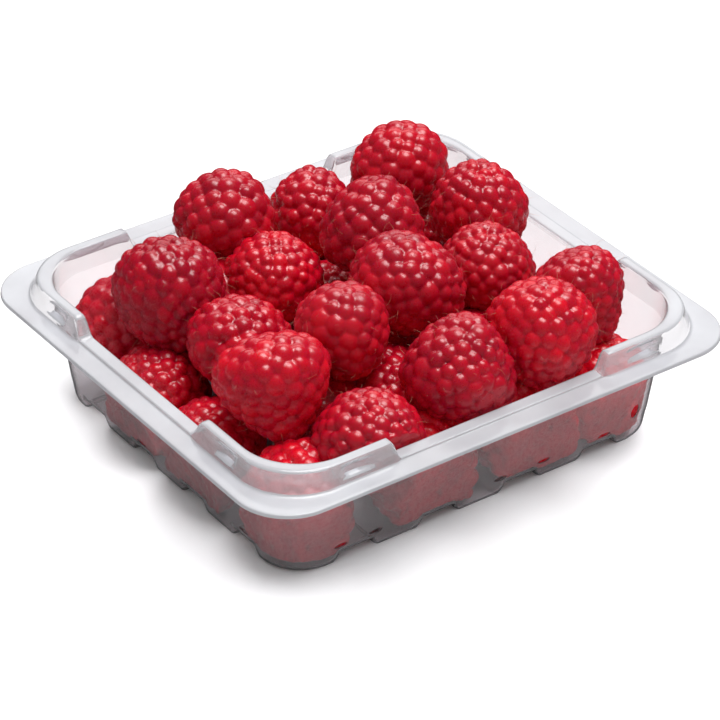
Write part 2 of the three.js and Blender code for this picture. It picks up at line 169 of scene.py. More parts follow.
def section_line(corners):
    line = bend_points(corners, 0)
    for k, extra in enumerate(RUN_POINTS):
        start, bend = line[-1], bend_points(corners, k + 1)
        shares = [t / (extra + 1) for t in range(1, extra + 1)]
        line += [tuple(f + (g - f) * s for f, g in zip(start, bend[0])) for s in shares]
        line += bend
    return np.array(line)

raised_line, low_line = section_line(RAISED), section_line(LOW)
print("section points:", len(raised_line), len(low_line))

# %% [markdown]
# ## Steps, arches and niches
# Along each straight side the rim steps down in the middle, and the underside rises into arches
# between the feet, so that air gets under. Near each corner the rim's outer wall has a shallow
# niche. Steps and arches are a share from 0 to 1 that depends only on the distance from the
# middle of the side, so they need no modelling of their own: the share mixes the two sections.

# %% Shares along a side
# step: middle of the low part, how far off it the step starts, and its length
# arches: how far off the side's middle each one is, and arch_half is half its width
# niche: where it starts and ends; slots and vents: where the holes are
# straight: half the length of the side between its round corners
SIDES = {
    "x": dict(step=(0.0, 27.2, 2.2), arches=(11.2, 33.4), arch_half=5.25, niche=(33.4, 45.8),
              slots=(-38.0, -28.8, 5.2, 17.3, 34.4), vents=(42.8,), straight=41.4),
    "y": dict(step=(1.5, 22.0, 3.3), arches=(10.0, 30.0), arch_half=4.75, niche=(29.0, 39.2),
              slots=(-30.3, 10.2), vents=(), straight=36.2),
}
ARCH_FLANK = 1.6  # mm along the side in which an arch rises
NICHE_DEPTH = 1.3
NICHE_LEVELS = (28.3, 31.1)
NICHE_FADES = (0.35, 0.9)  # mm of height in which the niche begins, and in which it ends

def eased(t):
    t = np.clip(t, 0.0, 1.0)
    return t * t * (3 - 2 * t)

def rim_share(side, u):
    middle, start, length = SIDES[side]["step"]
    return eased((abs(u - middle) - start) / length)

def foot_share(side, u):
    near = min(abs(abs(u) - middle) for middle in SIDES[side]["arches"])
    return eased((near - SIDES[side]["arch_half"]) / ARCH_FLANK + 0.5)

def niche_depth(side, u, height):
    first, last = SIDES[side]["niche"]
    across = (2 * abs(u) - first - last) / (last - first)
    if abs(across) >= 1:
        return 0.0
    low, high = NICHE_LEVELS
    window = eased((height - low) / NICHE_FADES[0]) * eased((high - height) / NICHE_FADES[1])
    return NICHE_DEPTH * (1 - across ** 2) * window

shares = [float(rim_share("x", u)) for u in (0.0, SIDES["x"]["straight"])]
print("share of the high rim, at a side's middle and end:", shares)

# %% [markdown]
# ## Round the tray
# The section is swept round a rectangle with round corners. A curve with a bevel profile could
# do that, but it can't change its profile on the way. So the points are worked out one by one,
# closer together where a step or an arch begins and ends.

# %% Places round the tray
SIDE_SPACING = 1.25  # mm between points along a straight side
CORNER_FACETS = 26
QUARTERS = (0, 0.25, 0.5, 0.75, 1)

def side_places(side):
    """Distances from the middle of a side, from 0 to the start of its round corner."""
    data = SIDES[side]
    marks = {0.0, data["straight"]}
    middle, start, length = data["step"]
    marks |= {start + way * middle + length * t for t in QUARTERS for way in (-1, 1)}
    for middle in data["arches"]:
        for way in (-1, 1):
            edge = middle + way * data["arch_half"]
            marks |= {edge + ARCH_FLANK * (t - 0.5) for t in QUARTERS}
    marks = sorted(m for m in marks if 0 <= m <= data["straight"])
    places = [0.0]
    for a, b in zip(marks, marks[1:]):
        steps = max(1, round((b - a) / SIDE_SPACING))
        places += [a + (b - a) * t / steps for t in range(1, steps + 1)]
    kept = [0.0]
    for place in places:
        if place - kept[-1] > SHEET:
            kept.append(place)
    return kept[:-1] + [data["straight"]]

def round_trip():
    """One entry for each column of points: the side and the distance from its middle, or
    "corner" and the share of the turn, and then the signs of X and Y."""
    sides = {side: side_places(side) for side in SIDES}
    shares = [t / CORNER_FACETS for t in range(1, CORNER_FACETS)]
    trip = []
    for k, (sx, sy) in enumerate([(1, 1), (-1, 1), (-1, -1), (1, -1)]):
        first, last = ("y", "x") if k % 2 == 0 else ("x", "y")
        trip += [(first, u, sx, sy) for u in sides[first][1:]]
        trip += [("corner", t if first == "y" else 1 - t, sx, sy) for t in shares]
        trip += [(last, u, sx, sy) for u in sides[last][::-1]]
    return trip

print("columns round the tray:", len(round_trip()))

# %% Sweep the section
FEET_BELOW = 20.0  # points of the section under this height follow the feet, the others the rim
RIM_WALL = (4.4, 6.2)  # insets between which the rim's outer wall stands
FLANGE_BAND = (26.0, 27.2)  # heights of the flange with its lip

def corner_point(inset, radius, t):
    """Along one quarter, from the end of the Y side's straight (0) to the X side's (1)."""
    hx, hy = TRAY[0] / 2 - inset, TRAY[1] / 2 - inset
    flat_y = hy - radius - SIDES["y"]["straight"]
    flat_x = hx - radius - SIDES["x"]["straight"]
    arc = radius * math.pi / 2
    way = t * (flat_y + arc + flat_x)
    if way < flat_y:
        return hx, SIDES["y"]["straight"] + way
    if way < flat_y + arc:
        turn = (way - flat_y) / radius
        return hx - radius + radius * math.cos(turn), hy - radius + radius * math.sin(turn)
    return SIDES["x"]["straight"] + flat_y + arc + flat_x - way, hy

def column_points(kind, u, sx, sy):
    """The whole section at one place round the tray."""
    rim = foot = 1.0
    if kind != "corner":
        rim = rim_share(kind, u * (sx if kind == "x" else sy))
        foot = foot_share(kind, u)
    column = []
    for high, low in zip(raised_line, low_line):
        share = rim if high[1] > FEET_BELOW else foot
        inset, height, radius = low + (high - low) * share
        if kind == "corner":
            x, y = corner_point(inset, radius, u)
        else:
            if RIM_WALL[0] < inset < RIM_WALL[1] and height > FLANGE_BAND[1]:
                inset += niche_depth(kind, u, height)
            half = TRAY[1] / 2 if kind == "x" else TRAY[0] / 2
            x, y = (u, half - inset) if kind == "x" else (half - inset, u)
        column.append((sx * x, sy * y, height))
    return column

tray_rings = np.array([column_points(*place) for place in round_trip()]).transpose(1, 0, 2)
print("tray rings and columns:", tray_rings.shape[:2])

# %% [markdown]
# ## The sheet
# The swept points make one open surface, drawn on the tray's upper side. The Solidify modifier
# gives it the sheet's thickness, as the real one has, and closes the edge of the flange. Clear
# plastic needs that: light bends once on the way in and once on the way out, and a surface with
# no thickness would show neither the bright edge nor the double gloss of a real sheet.

# %% Sheet
def tray_faces(rings, columns):
    """Squares between rings, and a fan of triangles that closes the last ring."""
    faces = []
    for r in range(rings - 1):
        here, nxt = r * columns, (r + 1) * columns
        for c in range(columns):
            d = (c + 1) % columns
            faces.append((here + c, here + d, nxt + d, nxt + c))
    last, middle = (rings - 1) * columns, rings * columns
    return faces + [(last + c, last + (c + 1) % columns, middle) for c in range(columns)]

def apply_modifiers(piece):
    shaped = piece.evaluated_get(bpy.context.evaluated_depsgraph_get())
    done = bpy.data.meshes.new_from_object(shaped)
    piece.modifiers.clear()
    piece.data = done

sheet_points = np.vstack([tray_rings.reshape(-1, 3), [[0.0, 0.0, FLOOR_TOP]]])
mesh = bpy.data.meshes.new("tray_shell")
mesh.from_pydata([tuple(p * MM) for p in sheet_points], [], tray_faces(*tray_rings.shape[:2]))
mesh.validate()
mesh.shade_smooth()
tray_shell = bpy.data.objects.new("tray_shell", mesh)
bpy.context.scene.collection.objects.link(tray_shell)
thick = tray_shell.modifiers.new("thickness", "SOLIDIFY")
thick.thickness = SHEET * MM
thick.offset = -1
thick.use_even_offset = True
thick.thickness_clamp = 1.0
apply_modifiers(tray_shell)
print("sheet corners:", len(tray_shell.data.vertices))

# %% [markdown]
# ## Drain slots and vents
# A few small holes near the ground let juice and damp air out. Each is an oval punched straight
# through the wall. A cutter is made for each hole, all of them are joined in one mesh, and one
# Boolean modifier takes them out of the sheet.

# %% Cutters
SLOT = (3.5, 1.2, 5.0)  # long, high, and the height of its middle
VENT = (2.6, 4.0, 8.5)
HOLE_FACETS = 20
WALL_INSET = 12.2
CUTTER_REACH = 3.0  # mm to each side of the wall

def hole_cutter(side, sx, sy, u, size):
    """Two ovals, one on each side of the wall."""
    long, high, level = size
    turn = np.linspace(0, 2 * math.pi, HOLE_FACETS, endpoint=False)
    along, rise = u + long / 2 * np.cos(turn), level + high / 2 * np.sin(turn)
    rows = []
    for depth in (-CUTTER_REACH, CUTTER_REACH):
        off = (TRAY[1] if side == "x" else TRAY[0]) / 2 - WALL_INSET + depth
        if side == "x":
            rows.append(np.c_[sx * along, np.full(HOLE_FACETS, sy * off), rise])
        else:
            rows.append(np.c_[np.full(HOLE_FACETS, sx * off), sy * along, rise])
    return np.vstack(rows)

def cutter_sides(first, n):
    """Faces of one cutter whose points start at first: a wall of n squares and two ends."""
    wall = [[first + i, first + (i + 1) % n, first + n + (i + 1) % n, first + n + i]
            for i in range(n)]
    return wall + [[first + i for i in range(n)][::-1], [first + n + i for i in range(n)]]

cutter_points, cutter_faces = [], []
for side, data in SIDES.items():
    for way in (-1, 1):
        sx, sy = (-way, way) if side == "x" else (way, -way)
        for places, size in ((data["slots"], SLOT), (data["vents"], VENT)):
            for u in places:
                first = HOLE_FACETS * 2 * len(cutter_points)
                cutter_points.append(hole_cutter(side, sx, sy, u, size))
                cutter_faces += cutter_sides(first, HOLE_FACETS)
print("cutters:", len(cutter_points))

# %% Punch the holes
SHARP_ANGLE = 50  # degrees, so that the sheet's cut edges stay crisp

cutter_mesh = bpy.data.meshes.new("hole_cutters")
cutter_mesh.from_pydata([tuple(p * MM) for p in np.vstack(cutter_points)], [], cutter_faces)
work = bmesh.new()
work.from_mesh(cutter_mesh)
bmesh.ops.recalc_face_normals(work, faces=work.faces)
work.to_mesh(cutter_mesh)
work.free()
cutters = bpy.data.objects.new("hole_cutters", cutter_mesh)
bpy.context.scene.collection.objects.link(cutters)
holes = tray_shell.modifiers.new("holes", "BOOLEAN")
holes.operation = "DIFFERENCE"
holes.object = cutters
holes.solver = "EXACT"
apply_modifiers(tray_shell)
bpy.data.objects.remove(cutters)
tray_shell.data.shade_smooth()
tray_shell.data.set_sharp_from_angle(angle=math.radians(SHARP_ANGLE))
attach(tray_shell, "root")
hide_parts("tray")
print("tray shell has", len(tray_shell.data.polygons), "faces")

# %% [markdown]
# ## Where the berries lie
# A raspberry is close to an egg with a blunt end where it came off its stalk. No two are alike,
# which is why they are listed and not scattered: a heap that was dropped at random would not
# lean and stack as this one does.

# %% Berries
def berry(at, across, long, tip, taper, lobes=(), pitch=3.6, tone=0.5, frost=0.5, stretch=1.0):
    """at: its middle; across, long: its size; tip: where it points, as degrees round and up;
    taper: how much the tip is narrower; lobes: lumps, each with a way and how far it stands out;
    pitch: from one drupelet to the next; tone: from dark, 0, to bright, 1; frost: how dull the
    skin is; stretch: how long the drupelets are for their width."""
    return dict(at=np.array(at), across=across, long=long, tip=tip, taper=taper, lobes=lobes,
                pitch=pitch, tone=tone, frost=frost, stretch=stretch)

HEAP = [
    berry((38.7, 37.5, 32.2), 21.5, 22.6, (170, -5), 0.05,
          ((45, 65, 0.5), (-30, 30, 1.0), (155, -30, 0.4)), 4.1, 0.5, 0.5),
    berry((-10.0, 38.3, 35.35), 23.2, 21.5, (5, 65), 0.12, ((160, -5, 0.3),), 4.3, 0.4, 0.6),
    berry((15.5, 40.5, 26.0), 20.5, 22.0, (55, 65), 0.08, (), 3.7, 0.5, 0.4),
    berry((14.0, 13.5, 36.8), 23.5, 23.5, (20, 75), 0.16, ((170, -20, 0.8),), 4.4, 0.35, 0.5),
    berry((43.4, 12.7, 31.5), 23.0, 22.5, (105, 75), 0.08, (), 3.3, 0.5, 0.5, 1.15),
    berry((31.3, -6.0, 28.7), 22.5, 21.5, (70, 70), 0.08, (), 3.1, 0.45, 0.7),
    berry((40.1, -30.1, 31.4), 20.0, 22.5, (-85, -50), 0.28, (), 3.3, 0.45, 0.6),
    berry((7.0, -7.5, 34.5), 24.0, 26.0, (-55, -10), 0.06, ((-50, 5, 0.9),), 3.9, 0.42, 0.6),
    berry((-9.4, 20.8, 27.4), 23.5, 21.0, (160, 80), 0.08, (), 3.2, 0.64, 0.5),
    berry((-34.3, 24.5, 30.3), 25.2, 26.5, (-100, -45), 0.12,
          ((110, 40, 0.8),), 3.4, 0.25, 0.4, 1.2),
    berry((-29.8, 2.6, 27.0), 25.2, 20.5, (-15, 60), 0.06,
          ((175, -25, 0.7),), 4.0, 0.48, 0.3),
    berry((-14.3, -14.0, 33.9), 21.0, 22.0, (-100, -50), 0.12, (), 3.9, 0.5, 0.9),
    berry((22.0, -38.0, 32.5), 24.0, 25.0, (-110, -40), 0.12,
          ((-35, 5, 0.8),), 3.7, 0.6, 0.5),
    berry((0.0, -38.0, 31.4), 23.8, 24.0, (15, 70), 0.2,
          ((160, -15, 1.0), (-40, -30, 0.8), (150, 45, 0.5)), 3.9, 0.35, 0.6),
    berry((-36.8, -21.0, 31.3), 24.0, 25.0, (-100, -55), 0.36,
          ((150, 15, 0.8),), 4.1, 0.6, 0.5),
    berry((-25.8, -40.2, 23.8), 24.4, 21.5, (-135, 85), 0.05,
          ((165, 0, 0.8),), 3.4, 0.48, 0.8),
    berry((6.5, 24.0, 12.8), 20.5, 21.0, (40, 40), 0.1, (), 3.5),
]
# The bright tones of the berries along the walls are partly painted light: they make up for
# light that the flange and the walls keep from these berries.
BED = [
    berry((-42.5, -36.5, 12.8), 24.5, 26.0, (40, 60), 0.06,
          ((-178, -42, 3.6), (-92, -42, 3.6)), pitch=3.9, tone=0.75),
    berry((-45.0, -8.3, 10.8), 23.0, 23.5, (80, 25), 0.08,
          ((140, -42, 4.2), (-140, -42, 4.2)), tone=0.6),
    berry((-43.3, 15.6, 11.7), 23.0, 23.5, (-80, 20), 0.08,
          ((140, -42, 4.2), (-140, -42, 4.2)), tone=0.6),
    berry((-37.8, 40.0, 14.8), 23.4, 24.0, (-160, -30), 0.1, pitch=4.6),
    berry((-11.0, -36.5, 13.5), 24.0, 27.0, (5, 5), 0.08,
          ((-132, -44, 4.6), (-48, -44, 4.6)), tone=1.0),
    berry((17.0, -36.5, 13.5), 24.0, 26.0, (175, 5), 0.08,
          ((-132, -44, 4.6), (-48, -44, 4.6)), tone=1.0),
    berry((39.5, -37.5, 12.5), 22.5, 23.0, (10, 15), 0.1,
          ((-125, -42, 4.0), (-45, -35, 2.5)), tone=1.0),
] + [berry(*sizes, taper=0.1) for sizes in (
    ((-4.5, -20.0, 16.3), 21.5, 22.0, (60, 30)),
    ((-20.0, -13.5, 13.5), 22.0, 23.0, (-30, 20)),
    ((-19.5, 9.0, 11.8), 23.0, 24.0, (120, 10)),
    ((-19.5, 29.0, 20.0), 23.0, 24.0, (90, 20)),
    ((11.0, 6.0, 13.5), 22.0, 23.0, (-150, 30)),
    ((21.5, -15.0, 14.0), 23.0, 24.0, (30, 10)),
    ((1.5, 38.5, 13.5), 22.5, 24.0, (150, 15)),
    ((25.0, 31.0, 14.0), 23.0, 24.0, (60, 25)),
    ((42.5, -13.5, 13.5), 22.0, 23.0, (-70, 15)),
    ((42.0, 10.0, 13.5), 22.5, 24.0, (80, 10)),
    ((43.5, 36.0, 13.5), 22.5, 23.5, (-40, 20)),
)]
print("berries:", len(HEAP), "in the heap and", len(BED), "in the bed")

# %% [markdown]
# ## The form of one berry
# From the berry's middle, how far is its skin in each direction? One function answers that for
# any number of directions at once. Everything else is built on it: where the drupelets sit, and
# which way they face.

# %% Skin of a berry
TIP_SHARE = 0.52  # share of the length from the middle to the tip
LOBE_SPREAD = 0.16

def unit(v):
    return v / np.linalg.norm(v, axis=-1, keepdims=True)

def compass_way(compass, rise):
    a, e = math.radians(compass), math.radians(rise)
    return np.array([math.cos(a) * math.cos(e), math.sin(a) * math.cos(e), math.sin(e)])

def skin_reach(fruit, ways):
    to_tip = ways @ compass_way(*fruit["tip"])
    along = np.where(to_tip > 0, TIP_SHARE, 1 - TIP_SHARE) * fruit["long"]
    across = fruit["across"] / 2 * (1 - fruit["taper"] * to_tip)
    flat = np.sqrt(np.maximum(0, 1 - to_tip ** 2))
    reach = 1 / np.hypot(to_tip / along, flat / across)
    for compass, rise, stand_out in fruit["lobes"]:
        off = 1 - ways @ compass_way(compass, rise)
        reach = reach + stand_out * np.exp(-off / LOBE_SPREAD)
    return reach

to_tips = [skin_reach(fruit, compass_way(*fruit["tip"])[None])[0] for fruit in HEAP]
print("middle to tip in the heap, mm:", round(min(to_tips), 1), "to", round(max(to_tips), 1))

# %% The way the skin faces
PROBE = 0.02  # how far to each side the reach is tried
UPRIGHT = 0.9  # a direction with more Z than this is too steep to be crossed with Z

def skin_normals(fruit, ways):
    """The way the skin faces, from how the reach changes a little to each side."""
    helper = np.where(np.abs(ways[:, 2:3]) < UPRIGHT, [[0, 0, 1.0]], [[1.0, 0, 0]])
    side = unit(np.cross(helper, ways))
    tangents = []
    for t in (side, np.cross(ways, side)):
        plus, minus = unit(ways + PROBE * t), unit(ways - PROBE * t)
        tangents.append(plus * skin_reach(fruit, plus)[:, None]
                        - minus * skin_reach(fruit, minus)[:, None])
    normal = unit(np.cross(tangents[0], tangents[1]))
    return normal * np.sign(np.sum(normal * ways, axis=1))[:, None]

up = np.array([[0.0, 0.0, 1.0]])
print("on top the first berry's skin faces:", skin_normals(HEAP[0], up).round(2))

# %% [markdown]
# ## Where the drupelets sit
# A raspberry is a cluster of some hundred little fruits, called drupelets, packed round a hollow
# core. They grow in spirals from the tip, as seeds do in a sunflower, so a spiral with the
# golden angle lays them out. Real ones also push each other about, so a few rounds of easing
# move each point away from neighbours that are too close, and small differences in size make
# rows wander.

# %% Spiral of drupelets
GOLDEN_TURN = math.pi * (3 - math.sqrt(5))
PLACE_JITTER = 0.16  # share of the pitch by which a drupelet starts off its place

def spiral_ways(fruit, radius, count, rng):
    """Directions along the spiral, and how far towards the tip each one points."""
    tip = compass_way(*fruit["tip"])
    aside = unit(np.cross(tip, [0.3, 0.5, 0.81]))
    other = np.cross(tip, aside)
    height = 1 - 2 * (np.arange(count) + 0.5) / count
    turn = (np.arange(count) + 0.5) * GOLDEN_TURN + rng.uniform(0, 6)
    flat = np.sqrt(1 - height ** 2)
    ways = (height[:, None] * tip + (flat * np.cos(turn))[:, None] * aside
            + (flat * np.sin(turn))[:, None] * other)
    jitter = PLACE_JITTER * fruit["pitch"] / radius
    return unit(ways + rng.normal(0, jitter, ways.shape)), height

print("golden angle, degrees:", round(math.degrees(GOLDEN_TURN), 2))

# %% Ease the drupelets apart
HEX_SHARE = 0.866  # area of one point in a close-packed layout, over its pitch squared
SIZE_SPREAD = 0.16
SIZE_LIMITS = (0.7, 1.4)
TIP_SHRINK = 0.08  # drupelets are smaller by this at the tip, and larger at the stalk
ROOMINESS = 1.04  # gap that neighbours keep, over their mean size
EASE_ROUNDS = 14
EASE_STEP = 0.32  # share of a push that is made in one round
NOT_ITSELF = 99  # mm that are added to a drupelet's distance from itself
LAYOUT_SEED = 11

def squeeze_matrix(fruit):
    """Stretched drupelets are laid out on a berry that is squeezed shorter along its axis."""
    tip = compass_way(*fruit["tip"])
    return np.eye(3) + (1 / fruit["stretch"] - 1) * np.outer(tip, tip)

def drupelet_layout(fruit, rng):
    """Direction and size of each drupelet."""
    radius = fruit["across"] / 4 + fruit["long"] / 4
    count = int(4 * math.pi * radius ** 2 / (HEX_SHARE * fruit["pitch"] ** 2) / fruit["stretch"])
    ways, height = spiral_ways(fruit, radius, count, rng)
    size = (np.clip(1 + rng.normal(0, SIZE_SPREAD, count), *SIZE_LIMITS)
            * (1 - TIP_SHRINK * height))
    squeeze = squeeze_matrix(fruit)
    for _ in range(EASE_ROUNDS):
        spots = (ways * skin_reach(fruit, ways)[:, None]) @ squeeze
        gap = spots[:, None] - spots[None]
        far = np.linalg.norm(gap, axis=2) + np.eye(count) * NOT_ITSELF
        want = fruit["pitch"] * 0.5 * (size[:, None] + size[None]) * ROOMINESS
        push = np.clip(want - far, 0, None) / far
        spots = spots + EASE_STEP * np.sum(gap * push[:, :, None], axis=1)
        ways = unit(spots @ np.linalg.inv(squeeze))
    return ways, size

rng = np.random.default_rng(LAYOUT_SEED)
layouts = [drupelet_layout(fruit, rng) for fruit in HEAP + BED]
print("drupelets:", sum(len(ways) for ways, _ in layouts))

# %% [markdown]
# ## The room in the tray
# Ripe raspberries are soft. Where one lies against the wall it goes flat, over a hollow foot it
# sags in, and through clear plastic that shows. A simulation could squash them, but the room in
# the tray has a simple shape, so every point of the fruit that would be outside it is moved to
# its boundary.

# %% Floor of the room
FRUIT_FLOOR = 3.5  # height over the raised floor
FOOT_FLOOR = 1.25  # height in a foot
FOOT_END = (17.0, 19.6)  # inset where the foot's hollow ends, at its bottom and at its top

def room_floor(points):
    """Lowest height that fruit can reach under each point."""
    inset_x, inset_y = (TRAY[k] / 2 - np.abs(points[:, k]) for k in (0, 1))
    inset = np.minimum(inset_x, inset_y)
    foot_x = np.array([foot_share("x", u) for u in points[:, 0]])
    foot_y = np.array([foot_share("y", u) for u in points[:, 1]])
    on_foot = np.where(inset_y < inset_x, foot_x, foot_y)
    near_corner = (inset_x < FOOT_END[0]) & (inset_y < FOOT_END[0])
    on_foot = np.where(near_corner, 1.0, on_foot)
    inward = np.clip((FOOT_END[1] - inset) / (FOOT_END[1] - FOOT_END[0]), 0, 1)
    return FRUIT_FLOOR + (FOOT_FLOOR - FRUIT_FLOOR) * inward * on_foot

tries = np.array([[50.0, 45.0, 0.0], [0.0, 0.0, 0.0]])  # in a corner's foot, and at the middle
print("lowest fruit there, mm:", room_floor(tries))

# %% Press against the tray
ROOM = [  # height, inset, corner radius
    (1.2, 14.9, 9.7),
    (2.2, 13.2, 9.9),
    (5.4, 12.7, 10.1),
    (26.9, 9.1, 14.4),
    (32.2, 8.8, 14.4),
    (34.5, 1.2, 12.9),
    (60.0, 1.2, 12.9),
]
NEAR_FLOOR = 7.0  # points over this height can't reach into a foot

def press(points, slack):
    """slack: how far inside the boundary each point has to stay."""
    heights, insets, radii = (np.array(c) for c in zip(*ROOM))
    out = points.copy()
    slack = np.broadcast_to(slack, len(out))
    low = out[:, 2] < NEAR_FLOOR
    floor = np.full(len(out), FRUIT_FLOOR)
    floor[low] = room_floor(out[low])
    out[:, 2] = np.maximum(out[:, 2], floor + slack)
    inset = np.interp(out[:, 2], heights, insets) + slack
    radius = np.interp(out[:, 2], heights, radii)
    half = np.array(TRAY) / 2 - inset[:, None]
    core = half - radius[:, None]
    sign = np.sign(out[:, :2])
    flat = np.minimum(np.abs(out[:, :2]), half)
    over = flat - core
    in_corner = (over > 0).all(axis=1)
    far = np.linalg.norm(over, axis=1)
    shrink = np.where(in_corner & (far > radius), radius / np.maximum(far, 1e-6), 1.0)
    flat = np.where(in_corner[:, None], core + over * shrink[:, None], flat)
    out[:, :2] = sign * flat
    return out

print("a point far out is pressed to, mm:", press(np.array([[99.0, 0.0, 15.0]]), 0.0).round(1))

# %% [markdown]
# ## Skin over the drupelets
# A drupelet is a small taut ball, and the skin runs on from one to the next in a soft crease.
# The berry could be made of a hundred separate balls, but then every crease would be a hard cut.
# Here the skin is a fine ball of triangles whose points are moved in or out: in each direction
# the skin is at the drupelet that reaches furthest, and where two reach about as far, a smooth
# maximum fills the crease between them.

# %% Skin of one berry
BALL_SHARE = 0.66  # a drupelet's radius over its pitch
STAND_OUT = 0.28  # mm that drupelets stand out past the berry's plain form
UNEVEN = 0.05  # how unevenly they do, over their pitch
UNEVEN_LIMITS = (-0.3, 0.12)  # mm
CREASE_FILL = 0.06  # mm, how softly the skin runs from one drupelet to the next
BODY_SINK = 0.34  # depth of the flesh under gaps between drupelets, over their pitch
RISE_REACH = 0.72  # how far off a drupelet's middle its rise falls to nothing, over its pitch

def smooth_skin(fruit, layout, ways, rng):
    """Reach of the skin each way, with the tone and the rise of the drupelet that is there."""
    spots, size = layout
    squeeze = squeeze_matrix(fruit)
    normals = unit(skin_normals(fruit, spots) @ np.linalg.inv(squeeze))
    radii = BALL_SHARE * fruit["pitch"] * size
    uneven = rng.normal(0, UNEVEN, len(spots)) * fruit["pitch"]
    out = STAND_OUT + np.clip(uneven, *UNEVEN_LIMITS)
    middles = (spots * skin_reach(fruit, spots)[:, None]) @ squeeze
    middles = middles + normals * (out - radii)[:, None]
    rays = ways @ squeeze
    long2 = np.sum(rays ** 2, axis=1)[:, None]
    along = rays @ middles.T
    aside2 = np.sum(middles ** 2, axis=1)[None] - along ** 2 / long2
    inside = radii[None] ** 2 - aside2
    reach = np.where(inside > 0, along + np.sqrt(np.maximum(inside, 0) * long2), 0) / long2
    body = skin_reach(fruit, ways) - BODY_SINK * fruit["pitch"]
    reach = np.hstack([reach, body[:, None]])
    top = reach.max(axis=1, keepdims=True)
    weight = np.exp((reach - top) / CREASE_FILL)
    total = weight.sum(axis=1, keepdims=True)
    tones = np.append(rng.random(len(spots)), 0.5)
    aside = np.sqrt(np.maximum(aside2, 0)).min(axis=1)
    rise = np.clip(1 - aside / (RISE_REACH * fruit["pitch"]), 0, 1)
    return (top + CREASE_FILL * np.log(total))[:, 0], (weight @ tones) / total[:, 0], rise

radii = [BALL_SHARE * fruit["pitch"] for fruit in HEAP]
print("radius of a drupelet, mm:", round(min(radii), 2), "to", round(max(radii), 2))

# %% Balls of triangles
def ball(detail):
    """Directions and triangles of a ball."""
    work = bmesh.new()
    bmesh.ops.create_icosphere(work, subdivisions=detail, radius=1.0)
    corners = np.array([v.co for v in work.verts])
    sides = np.array([[v.index for v in f.verts] for f in work.faces])
    work.free()
    return unit(corners), sides

FINE, COARSE = ball(6), ball(5)
print("triangles of a fine and a coarse berry:", len(FINE[1]), len(COARSE[1]))

# %% [markdown]
# ## All the fruit
# The heap and the berries along the walls that face forward are modelled finely, because they
# are seen close. The rest of the bed shows only through gaps, so it gets fewer faces. Several
# berries go in one mesh. Numbers that differ from point to point, such as how bright a berry is,
# go in as attributes of the mesh, where a material can read them.

# %% One piece from points and triangles
def make_piece(name, points, faces, node, marks=None):
    mesh = bpy.data.meshes.new(name)
    mesh.vertices.add(len(points))
    mesh.vertices.foreach_set("co", (points * MM).ravel())
    mesh.loops.add(faces.size)
    mesh.loops.foreach_set("vertex_index", faces.astype(np.int32).ravel())
    mesh.polygons.add(len(faces))
    mesh.polygons.foreach_set("loop_start", np.arange(0, faces.size, faces.shape[1]))
    mesh.update(calc_edges=True)
    mesh.validate()
    mesh.shade_smooth()
    for label, values in (marks or {}).items():
        mark = mesh.attributes.new(label, "FLOAT", "POINT")
        mark.data.foreach_set("value", np.asarray(values, np.float32))
    piece = bpy.data.objects.new(name, mesh)
    bpy.context.scene.collection.objects.link(piece)
    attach(piece, "root")
    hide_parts(node)
    print(name, "has", len(mesh.polygons), "faces")
    return piece

# %% Gather the berries in pieces
HEAP_BACK = 9  # how many of the heap, from the first on, are in the piece at the back
BED_FRONT = 8  # and how many of the bed are in the piece at the front
BERRY_SEED = 100
SKIN_SLACK = 0.05  # mm between the tray and a drupelet's top
CREASE_SLACK = 0.9  # mm more at a crease, so that creases stay off the tray

def build_fruit(index, fruit, fine_ball):
    rng = np.random.default_rng(BERRY_SEED + index)
    reach, tones, rise = smooth_skin(fruit, layouts[index], fine_ball[0], rng)
    points = fruit["at"] + fine_ball[0] * reach[:, None]
    return press(points, SKIN_SLACK + CREASE_SLACK * (1 - rise) ** 2), tones, rise

def gather(name, first, fruits, fine_ball):
    points, faces, marks = [], [], dict(drupelet=[], rise=[], tone=[], frost=[])
    for k, fruit in enumerate(fruits):
        made, tones, rise = build_fruit(first + k, fruit, fine_ball)
        faces.append(fine_ball[1] + len(made) * k)
        points.append(made)
        marks["drupelet"].append(tones)
        marks["rise"].append(rise)
        marks["tone"].append(np.full(len(made), fruit["tone"]))
        marks["frost"].append(np.full(len(made), fruit["frost"]))
    return make_piece(name, np.vstack(points), np.vstack(faces),
                      "raspberries", {m: np.concatenate(v) for m, v in marks.items()})

berry_pieces = [
    gather("berries_back", 0, HEAP[:HEAP_BACK], FINE),
    gather("berries_front", HEAP_BACK, HEAP[HEAP_BACK:], FINE),
    gather("berries_bed_front", len(HEAP), BED[:BED_FRONT], FINE),
    gather("berries_bed_back", len(HEAP) + BED_FRONT, BED[BED_FRONT:], COARSE),
]

# %% [markdown]
# ## Hairs
# Each drupelet keeps the dry thread of the flower's style, a tan hair a few millimetres long.
# Most are lost or lie flat, and the ones that are left catch the light at the berries' edges.
# Blender's hair curves would do, but a thin mesh exports everywhere. A hair is a bent tube with
# three sides that narrows to its end.

# %% Shape of a hair
HAIR_LENGTH = (1.0, 3.0)
HAIR_LEAN = (0.3, 1.3)  # how far it leans over, times the share below
LEAN_SHARE = 0.4
HAIR_CURL = (0.1, 0.45)  # turn from one step to the next
CURL_SPREAD = 0.5
HAIR_WIDTH = 0.085
NARROWING = 0.75  # share of its width that a hair has lost at its end
HAIR_STEPS = 5
HAIR_CORNERS = (0, 2.094, 4.189)  # radians round the tube, a third of a turn apart
ROOT_DEPTH = 0.1

